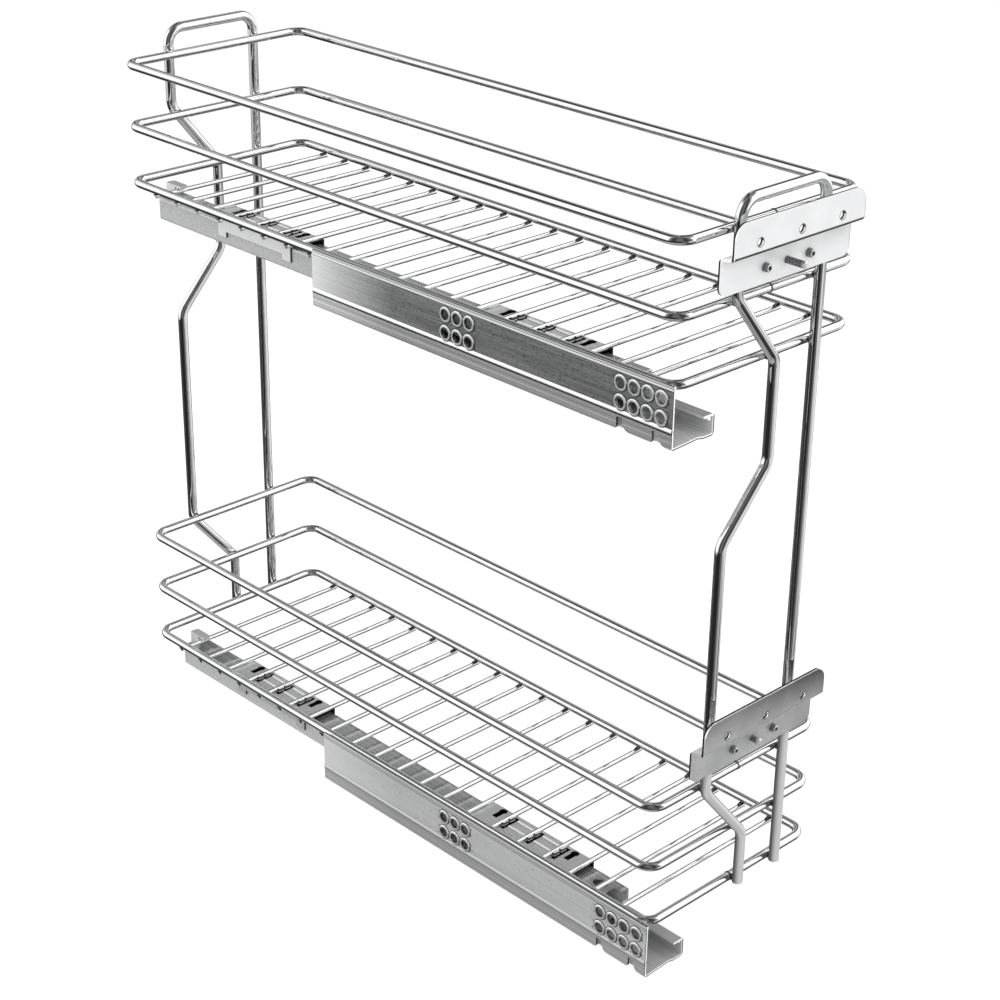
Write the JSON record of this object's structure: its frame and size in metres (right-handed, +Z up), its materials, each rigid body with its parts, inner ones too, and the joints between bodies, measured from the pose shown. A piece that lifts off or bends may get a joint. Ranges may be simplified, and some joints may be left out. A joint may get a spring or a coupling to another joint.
{
  "type": "pull-out wire basket",
  "caption": "Two-tier chromed wire pull-out basket for a narrow kitchen base cabinet, on side-mounted roller runners, with end frames that form handles and brackets for the furniture door.",
  "frame": {"origin": "centre of the lower runner's front group of screw holes, on the face of the cabinet's side wall", "axes": "+X from the side wall into the cabinet, +Y to the rear of the cabinet, +Z up"},
  "size_m": [0.1464, 0.4918, 0.4481],
  "materials": {
    "bright_wire": "polished",
    "galvanised_sheet": "satin",
    "bracket_sheet": "satin",
    "dark_screw_steel": "satin",
    "cage_plastic": "matt",
    "roller_plastic": "gloss"
  },
  "bodies": {
    "cabinet_rails": {"lower_cabinet_profile": "galvanised_sheet", "upper_cabinet_profile": "galvanised_sheet"},
    "basket": {"front_frame": "bright_wire", "rear_frame": "bright_wire", "lower_drawer_profile": "galvanised_sheet", "lower_front_clip": "galvanised_sheet", "lower_rear_clip": "galvanised_sheet", "lower_bottom_ring": "bright_wire", "lower_middle_ring": "bright_wire", "lower_top_ring": "bright_wire", "lower_floor_wires": "bright_wire", "lower_door_bracket": "bracket_sheet", "lower_lock_screws": "dark_screw_steel", "lower_centre_pin": "dark_screw_steel", "lower_weld_nuts": "dark_screw_steel", "upper_drawer_profile": "galvanised_sheet", "upper_front_clip": "galvanised_sheet", "upper_rear_clip": "galvanised_sheet", "upper_bottom_ring": "bright_wire", "upper_middle_ring": "bright_wire", "upper_top_ring": "bright_wire", "upper_floor_wires": "bright_wire", "upper_door_bracket": "bracket_sheet", "upper_lock_screws": "dark_screw_steel", "upper_centre_pin": "dark_screw_steel", "upper_weld_nuts": "dark_screw_steel"},
    "lower_carriage": {"lower_roller_cage": "cage_plastic"},
    "lower_load_roller_1": {"lower_roller_1": "roller_plastic"},
    "lower_load_roller_2": {"lower_roller_2": "roller_plastic"},
    "lower_load_roller_3": {"lower_roller_3": "roller_plastic"},
    "upper_carriage": {"upper_roller_cage": "cage_plastic"},
    "upper_load_roller_1": {"upper_roller_1": "roller_plastic"},
    "upper_load_roller_2": {"upper_roller_2": "roller_plastic"},
    "upper_load_roller_3": {"upper_roller_3": "roller_plastic"}
  },
  "joints": [
    {"name": "basket_slide", "type": "slide", "parent": "cabinet_rails", "child": "basket", "axis": [0, -1, 0], "range_m": [0, 0.33]},
    {"name": "lower_carriage_slide", "type": "slide", "parent": "cabinet_rails", "child": "lower_carriage", "axis": [0, -1, 0], "range_m": [0, 0.165]},
    {"name": "lower_roller_1_turn", "type": "hinge", "parent": "lower_carriage", "child": "lower_load_roller_1", "pos_m": [0.0282, 0.1635, -0.00455], "axis": [1, 0, 0], "range_deg": [0, 2160]},
    {"name": "lower_roller_2_turn", "type": "hinge", "parent": "lower_carriage", "child": "lower_load_roller_2", "pos_m": [0.0282, 0.2015, -0.00455], "axis": [1, 0, 0], "range_deg": [0, 2160]},
    {"name": "lower_roller_3_turn", "type": "hinge", "parent": "lower_carriage", "child": "lower_load_roller_3", "pos_m": [0.0282, 0.2395, -0.00455], "axis": [1, 0, 0], "range_deg": [0, 2160]},
    {"name": "upper_carriage_slide", "type": "slide", "parent": "cabinet_rails", "child": "upper_carriage", "axis": [0, -1, 0], "range_m": [0, 0.165]},
    {"name": "upper_roller_1_turn", "type": "hinge", "parent": "upper_carriage", "child": "upper_load_roller_1", "pos_m": [0.0282, 0.1635, 0.31895], "axis": [1, 0, 0], "range_deg": [0, 2160]},
    {"name": "upper_roller_2_turn", "type": "hinge", "parent": "upper_carriage", "child": "upper_load_roller_2", "pos_m": [0.0282, 0.2015, 0.31895], "axis": [1, 0, 0], "range_deg": [0, 2160]},
    {"name": "upper_roller_3_turn", "type": "hinge", "parent": "upper_carriage", "child": "upper_load_roller_3", "pos_m": [0.0282, 0.2395, 0.31895], "axis": [1, 0, 0], "range_deg": [0, 2160]}
  ],
  "couplings": [
    {"joint": "lower_carriage_slide", "follows": "basket_slide", "ratio": 0.5},
    {"joint": "lower_roller_1_turn", "follows": "basket_slide", "rad_per_m": 113.64},
    {"joint": "lower_roller_2_turn", "follows": "basket_slide", "rad_per_m": 113.64},
    {"joint": "lower_roller_3_turn", "follows": "basket_slide", "rad_per_m": 113.64},
    {"joint": "upper_carriage_slide", "follows": "basket_slide", "ratio": 0.5},
    {"joint": "upper_roller_1_turn", "follows": "basket_slide", "rad_per_m": 113.64},
    {"joint": "upper_roller_2_turn", "follows": "basket_slide", "rad_per_m": 113.64},
    {"joint": "upper_roller_3_turn", "follows": "basket_slide", "rad_per_m": 113.64}
  ]
}
